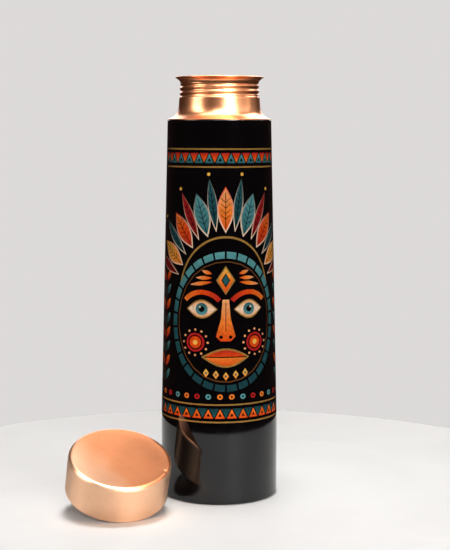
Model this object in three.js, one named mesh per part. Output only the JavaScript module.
// Copper water bottle of about one litre, with its screw cap lying off beside it.
// Every piece is turned or drawn from thin sheet, so each one is a closed profile
// revolved about its own axis, and the two rolled threads are true helices.
// Millimetres, +Z up. The origin is the centre of the bottle's underside.

import * as THREE from 'three';

// Facets round every revolved piece. Nested pieces share them, so they stay clear.
const FACETS = 40;

// Body: a straight foot that tapers up to the shoulder.
const BODY_RADIUS = 37.5;
const BODY_CORNER = 2.2;
const STRAIGHT_HEIGHT = 47;
const SHOULDER_RADIUS = 33;
const SHOULDER_HEIGHT = 241;
const SHEET = 0.6;

// Printed lacquer coat, and the clearance it keeps to the copper under it.
const COAT = 0.2;
const COAT_CLEARANCE = 0.05;
// How far under the bottom corner the coat reaches, in degrees on the corner's arc.
const COAT_FOOT_ANGLE = -60;

// Clearance between pieces that are fixed to, or rest on, one another.
const SEAT_CLEARANCE = 0.3;

// Base disc: a shallow cup pressed up into the body over its turned-in foot.
const FOOT_TURN = 1.8;
const BASE_JOGGLE = 0.5;
const BASE_FLANGE_TOP = 7;

// Shoulder flare, neck and lip.
const SPIGOT_LENGTH = 5;
const FLANGE_EDGE = 0.3;
const NECK_RADIUS_LOW = 26;
const NECK_RADIUS_HIGH = 25.6;
const LIP_RADIUS = 28.05;
const LIP_LAND = 0.8;
const RIM_HEIGHT = 268.2;

// Radius and height along the hollow curve from shoulder to neck, and along the
// curve that opens from the thread to the lip.
const SHOULDER_CURVE = [[30.4, 242.6], [28.2, 244.1], [26.8, 246.2]];
const NECK_FOOT_HEIGHT = 248.8;
const LIP_CURVE = [[25.4, 265.5], [26.6, 266.8]];

// Rolled thread, one start, the same pitch on the neck and on the cap's plug.
const THREAD_PITCH = 3.2;
const THREAD_FADE = 1.2;
const ROWS_PER_PITCH = 4;
const NECK_THREAD_BOTTOM = 255.8;
const NECK_THREAD_TOP = 264.2;
const NECK_THREAD_RADIUS = 25;
const NECK_THREAD_TAPER = 0.2;
const NECK_THREAD_LEAD = 1;
const NECK_THREAD_DEPTH = 0.35;
const PLUG_THREAD_BOTTOM = 8.6;
const PLUG_THREAD_TOP = 17;
const PLUG_THREAD_DEPTH = 0.3;

// Cap: a drawn cup, its mouth at height 0 in its own frame.
const CAP_RADIUS = 31.75;
const CAP_HEIGHT = 24.9;
const CAP_CORNER = 2.6;
const CAP_DISH = 0.5;
// The dish as [share of the cap's radius, share of the dish's depth].
const CAP_DISH_CURVE = [[0.85, 0.2], [0.6, 0.8]];
const CAP_HEM = 1.3;
const CAP_HEM_HEIGHT = 1.5;

// Plug: the inner cup that carries the male thread.
const PLUG_RADIUS = 23.9;
const PLUG_BOTTOM = 6;
const PLUG_CORNER = 1.5;
const PLUG_TOP = 23.6;
const PLUG_FLANGE = 25.2;

// Silicone sealing ring that the lip presses on.
const SEAL_INNER = 24.3;
const SEAL_OUTER = 30.5;
const SEAL_BOTTOM = 20.9;
const SEAL_THICKNESS = 1.9;
const SEAL_CHAMFER = 0.4;

// Where the cap lies: its mouth's centre in plan, and how far its axis leans.
const CAP_X = -63.7;
const CAP_Y = -47.7;
const CAP_LEAN = THREE.MathUtils.degToRad(23.46);
const CAP_LEAN_TOWARDS = THREE.MathUtils.degToRad(-70.7);
const TABLE_CLEARANCE = 0.01;

// ---------------------------------------------------------------- materials

const polishedCopper = { color: 0xd98a5c, roughness: 0.16, metalness: 1 };
const satinCopper = { color: 0xdf9f72, roughness: 0.42, metalness: 1 };
const innerCopper = { color: 0xc9855a, roughness: 0.3, metalness: 1 };
const blackLacquer = { color: 0x0c0b0d, roughness: 0.08, metalness: 0 };
const whiteSilicone = { color: 0xe9e6df, roughness: 0.6, metalness: 0 };

// ------------------------------------------------------------------ profiles

// A profile is a list of [radius, height] points.

// Points on a quarter-circle-like arc about a centre, end points included.
function arc(centreR, centreZ, radius, fromDeg, toDeg, steps) {
  const points = [];
  for (let i = 0; i <= steps; i += 1) {
    const a = THREE.MathUtils.degToRad(fromDeg + ((toDeg - fromDeg) * i) / steps);
    points.push([centreR + radius * Math.cos(a), centreZ + radius * Math.sin(a)]);
  }
  return points;
}

// Equal steps in height along a straight line between two points, ends left out.
function rowsBetween([r0, z0], [r1, z1], step) {
  const count = Math.round((z1 - z0) / step);
  const rows = [];
  for (let i = 1; i < count; i += 1) {
    rows.push([r0 + ((r1 - r0) * i) / count, z0 + ((z1 - z0) * i) / count]);
  }
  return rows;
}

// The outer line moved inwards by the sheet's thickness, with mitred corners.
function insideOf(outer, thickness) {
  return outer.map((point, i) => {
    const before = outer[Math.max(i - 1, 0)];
    const after = outer[Math.min(i + 1, outer.length - 1)];
    const first = i > 0 ? leftNormal(before, point) : leftNormal(point, after);
    const second = i < outer.length - 1 ? leftNormal(point, after) : first;
    const sumR = first[0] + second[0];
    const sumZ = first[1] + second[1];
    const mitre = (2 * thickness) / (sumR * sumR + sumZ * sumZ);
    return [point[0] + sumR * mitre, point[1] + sumZ * mitre];
  });
}

// Unit normal to the left of the way from a to b.
function leftNormal(a, b) {
  const length = Math.hypot(b[0] - a[0], b[1] - a[1]);
  return [-(b[1] - a[1]) / length, (b[0] - a[0]) / length];
}

// Closed profile of a sheet: up its outside and back down its inside.
function sheetProfile(outer, thickness) {
  return [...outer, ...insideOf(outer, thickness).reverse()];
}

// Revolves a profile about Z. One that doesn't begin on the axis is closed on itself.
function revolve(profile) {
  const closed = profile[0][0] === 0 ? profile : [...profile, profile[0]];
  const points = closed.map(([r, z]) => new THREE.Vector2(r, z));
  return new THREE.LatheGeometry(points, FACETS).rotateX(Math.PI / 2);
}

// Presses a helical ripple into the wall between two heights. It fades out at both
// ends, and both faces of the sheet move together.
function rollThread(geometry, bottom, top, depth, inRange) {
  const position = geometry.attributes.position;
  for (let i = 0; i < position.count; i += 1) {
    const x = position.getX(i);
    const y = position.getY(i);
    const z = position.getZ(i);
    const radius = Math.hypot(x, y);
    if (z > bottom && z < top && inRange(radius)) {
      const nearEnd = Math.min(z - bottom, top - z);
      const strength = Math.min(nearEnd / THREAD_FADE, 1);
      const turns = z / THREAD_PITCH - Math.atan2(y, x) / (2 * Math.PI);
      const moved = radius + depth * strength * Math.cos(2 * Math.PI * turns);
      position.setXY(i, (x * moved) / radius, (y * moved) / radius);
    }
  }
  return geometry;
}

function piece(name, geometry, look) {
  const mesh = new THREE.Mesh(geometry, new THREE.MeshStandardMaterial(look));
  mesh.name = name;
  return mesh;
}

// ------------------------------------------------------------- bottle pieces

// Radius of the copper body under its coat at a height.
function shellRadius(z) {
  const taper = Math.max(0, (z - STRAIGHT_HEIGHT) / (SHOULDER_HEIGHT - STRAIGHT_HEIGHT));
  const outside = BODY_RADIUS + (SHOULDER_RADIUS - BODY_RADIUS) * taper;
  return outside - COAT - COAT_CLEARANCE;
}

// Corner radius of the copper body under its coat, and the corner's centre.
const SHELL_CORNER = BODY_CORNER - COAT - COAT_CLEARANCE;
const CORNER_CENTRE = BODY_RADIUS - BODY_CORNER;

// Tapered wall of the body, its foot turned in under the base disc.
function bodyShell() {
  const outer = [
    [CORNER_CENTRE - FOOT_TURN, 0],
    ...arc(CORNER_CENTRE, SHELL_CORNER, SHELL_CORNER, -90, 0, 4),
    [shellRadius(STRAIGHT_HEIGHT), STRAIGHT_HEIGHT],
    [shellRadius(SHOULDER_HEIGHT), SHOULDER_HEIGHT],
  ];
  return piece('body_shell', revolve(sheetProfile(outer, SHEET)), innerCopper);
}

// Flat bottom, joggled up over the foot and flanged inside the wall.
function baseDisc() {
  const footInner = CORNER_CENTRE - FOOT_TURN;
  const seat = SHEET + SEAT_CLEARANCE;
  const outer = [
    [0, 0],
    [footInner - 2 * BASE_JOGGLE, 0],
    [footInner - BASE_JOGGLE, seat],
    ...arc(CORNER_CENTRE, SHELL_CORNER, SHELL_CORNER - seat, -90, 0, 4),
    [shellRadius(0) - seat, BASE_FLANGE_TOP],
  ];
  return piece('base_disc', revolve(sheetProfile(outer, SHEET)), innerCopper);
}

// The coat follows the copper from the bottom corner up to the shoulder's edge.
function printedCoat() {
  const outer = [
    ...arc(CORNER_CENTRE, SHELL_CORNER, BODY_CORNER, COAT_FOOT_ANGLE, 0, 3),
    [BODY_RADIUS, STRAIGHT_HEIGHT],
    [SHOULDER_RADIUS, SHOULDER_HEIGHT],
  ];
  return piece('printed_coat', revolve(sheetProfile(outer, COAT)), blackLacquer);
}

// Shoulder flange and spigot, concave flare, plain neck, thread and outward lip.
function threadedNeck() {
  const spigotOuter = shellRadius(SHOULDER_HEIGHT) - SHEET - SEAT_CLEARANCE;
  const spigotInner = spigotOuter - SHEET;
  const flangeBottom = SHOULDER_HEIGHT + SEAT_CLEARANCE;
  const flangeTop = flangeBottom + FLANGE_EDGE;
  const threadFoot = [NECK_THREAD_RADIUS, NECK_THREAD_BOTTOM];
  const threadHead = [NECK_THREAD_RADIUS - NECK_THREAD_TAPER, NECK_THREAD_TOP];
  const flare = [
    [SHOULDER_RADIUS, flangeTop],
    ...SHOULDER_CURVE,
    [NECK_RADIUS_LOW, NECK_FOOT_HEIGHT],
    [NECK_RADIUS_HIGH, NECK_THREAD_BOTTOM - NECK_THREAD_LEAD],
    threadFoot,
    ...rowsBetween(threadFoot, threadHead, THREAD_PITCH / ROWS_PER_PITCH),
    threadHead,
    ...LIP_CURVE,
  ];
  const inside = insideOf(flare, SHEET).filter(([r]) => r < spigotInner);
  const profile = [
    [spigotOuter, SHOULDER_HEIGHT - SPIGOT_LENGTH],
    [spigotOuter, flangeBottom],
    [SHOULDER_RADIUS, flangeBottom],
    ...flare,
    [LIP_RADIUS, RIM_HEIGHT - FLANGE_EDGE],
    [LIP_RADIUS, RIM_HEIGHT],
    [LIP_RADIUS - LIP_LAND, RIM_HEIGHT],
    ...inside.reverse(),
    [spigotInner, flangeBottom],
    [spigotInner, SHOULDER_HEIGHT - SPIGOT_LENGTH],
  ];
  const geometry = revolve(profile);
  rollThread(geometry, NECK_THREAD_BOTTOM, NECK_THREAD_TOP, NECK_THREAD_DEPTH, () => true);
  return piece('threaded_neck', geometry, polishedCopper);
}

// ---------------------------------------------------------------- cap pieces

// Drawn cup with a rounded edge, a slightly dished top and a hemmed mouth.
function capShell() {
  const inner = CAP_RADIUS - SHEET;
  const hemInner = CAP_RADIUS - CAP_HEM;
  const cornerR = CAP_RADIUS - CAP_CORNER;
  const cornerZ = CAP_HEIGHT - CAP_CORNER;
  const top = [
    ...arc(cornerR, cornerZ, CAP_CORNER, 0, 90, 4),
    ...CAP_DISH_CURVE.map(([r, d]) => [r * CAP_RADIUS, CAP_HEIGHT - d * CAP_DISH]),
    [0, CAP_HEIGHT - CAP_DISH],
  ];
  const profile = [
    [0, CAP_HEIGHT - CAP_DISH - SHEET],
    ...insideOf(top, SHEET).slice(0, -1).reverse(),
    [inner, CAP_HEM_HEIGHT + CAP_HEM / 2],
    [hemInner, CAP_HEM_HEIGHT],
    [hemInner, SHEET / 2],
    [hemInner + SHEET / 2, 0],
    [CAP_RADIUS - SHEET / 2, 0],
    [CAP_RADIUS, SHEET],
    ...top,
  ];
  return piece('cap_shell', revolve(profile), satinCopper);
}

// Inner cup: closed below, threaded outside, flanged where it meets the cap's top.
function capPlug() {
  const threadFoot = [PLUG_RADIUS, PLUG_THREAD_BOTTOM];
  const threadHead = [PLUG_RADIUS, PLUG_THREAD_TOP];
  const outer = [
    [0, PLUG_BOTTOM],
    ...arc(PLUG_RADIUS - PLUG_CORNER, PLUG_BOTTOM + PLUG_CORNER, PLUG_CORNER, -90, 0, 3),
    threadFoot,
    ...rowsBetween(threadFoot, threadHead, THREAD_PITCH / ROWS_PER_PITCH),
    threadHead,
  ];
  const inside = insideOf([...outer, [PLUG_RADIUS, PLUG_TOP]], SHEET);
  const profile = [
    ...outer,
    [PLUG_RADIUS, PLUG_TOP - SHEET],
    [PLUG_FLANGE, PLUG_TOP - SHEET],
    [PLUG_FLANGE, PLUG_TOP],
    ...inside.reverse(),
  ];
  const geometry = revolve(profile);
  const isWall = (radius) => radius > PLUG_RADIUS - 2 * SHEET;
  rollThread(geometry, PLUG_THREAD_BOTTOM, PLUG_THREAD_TOP, PLUG_THREAD_DEPTH, isWall);
  return piece('cap_plug', geometry, innerCopper);
}

// Flat ring, chamfered on its four edges.
function capSeal() {
  const low = SEAL_BOTTOM;
  const high = SEAL_BOTTOM + SEAL_THICKNESS;
  const profile = [
    [SEAL_INNER + SEAL_CHAMFER, low],
    [SEAL_OUTER - SEAL_CHAMFER, low],
    [SEAL_OUTER, low + SEAL_CHAMFER],
    [SEAL_OUTER, high - SEAL_CHAMFER],
    [SEAL_OUTER - SEAL_CHAMFER, high],
    [SEAL_INNER + SEAL_CHAMFER, high],
    [SEAL_INNER, high - SEAL_CHAMFER],
    [SEAL_INNER, low + SEAL_CHAMFER],
  ];
  return piece('cap_seal', revolve(profile), whiteSilicone);
}

// The cap lies tilted, with the lowest point of its rim on the table.
function lyingCap() {
  const cap = new THREE.Group();
  cap.add(capShell(), capPlug(), capSeal());
  const leanAxis = new THREE.Vector3(-Math.sin(CAP_LEAN_TOWARDS), Math.cos(CAP_LEAN_TOWARDS), 0);
  cap.quaternion.setFromAxisAngle(leanAxis, CAP_LEAN);
  const rimRadius = CAP_RADIUS - SHEET / 2;
  cap.position.set(CAP_X, CAP_Y, rimRadius * Math.sin(CAP_LEAN) + TABLE_CLEARANCE);
  return cap;
}

const bottle = new THREE.Group();
bottle.add(bodyShell(), baseDisc(), printedCoat(), threadedNeck(), lyingCap());

export default bottle;
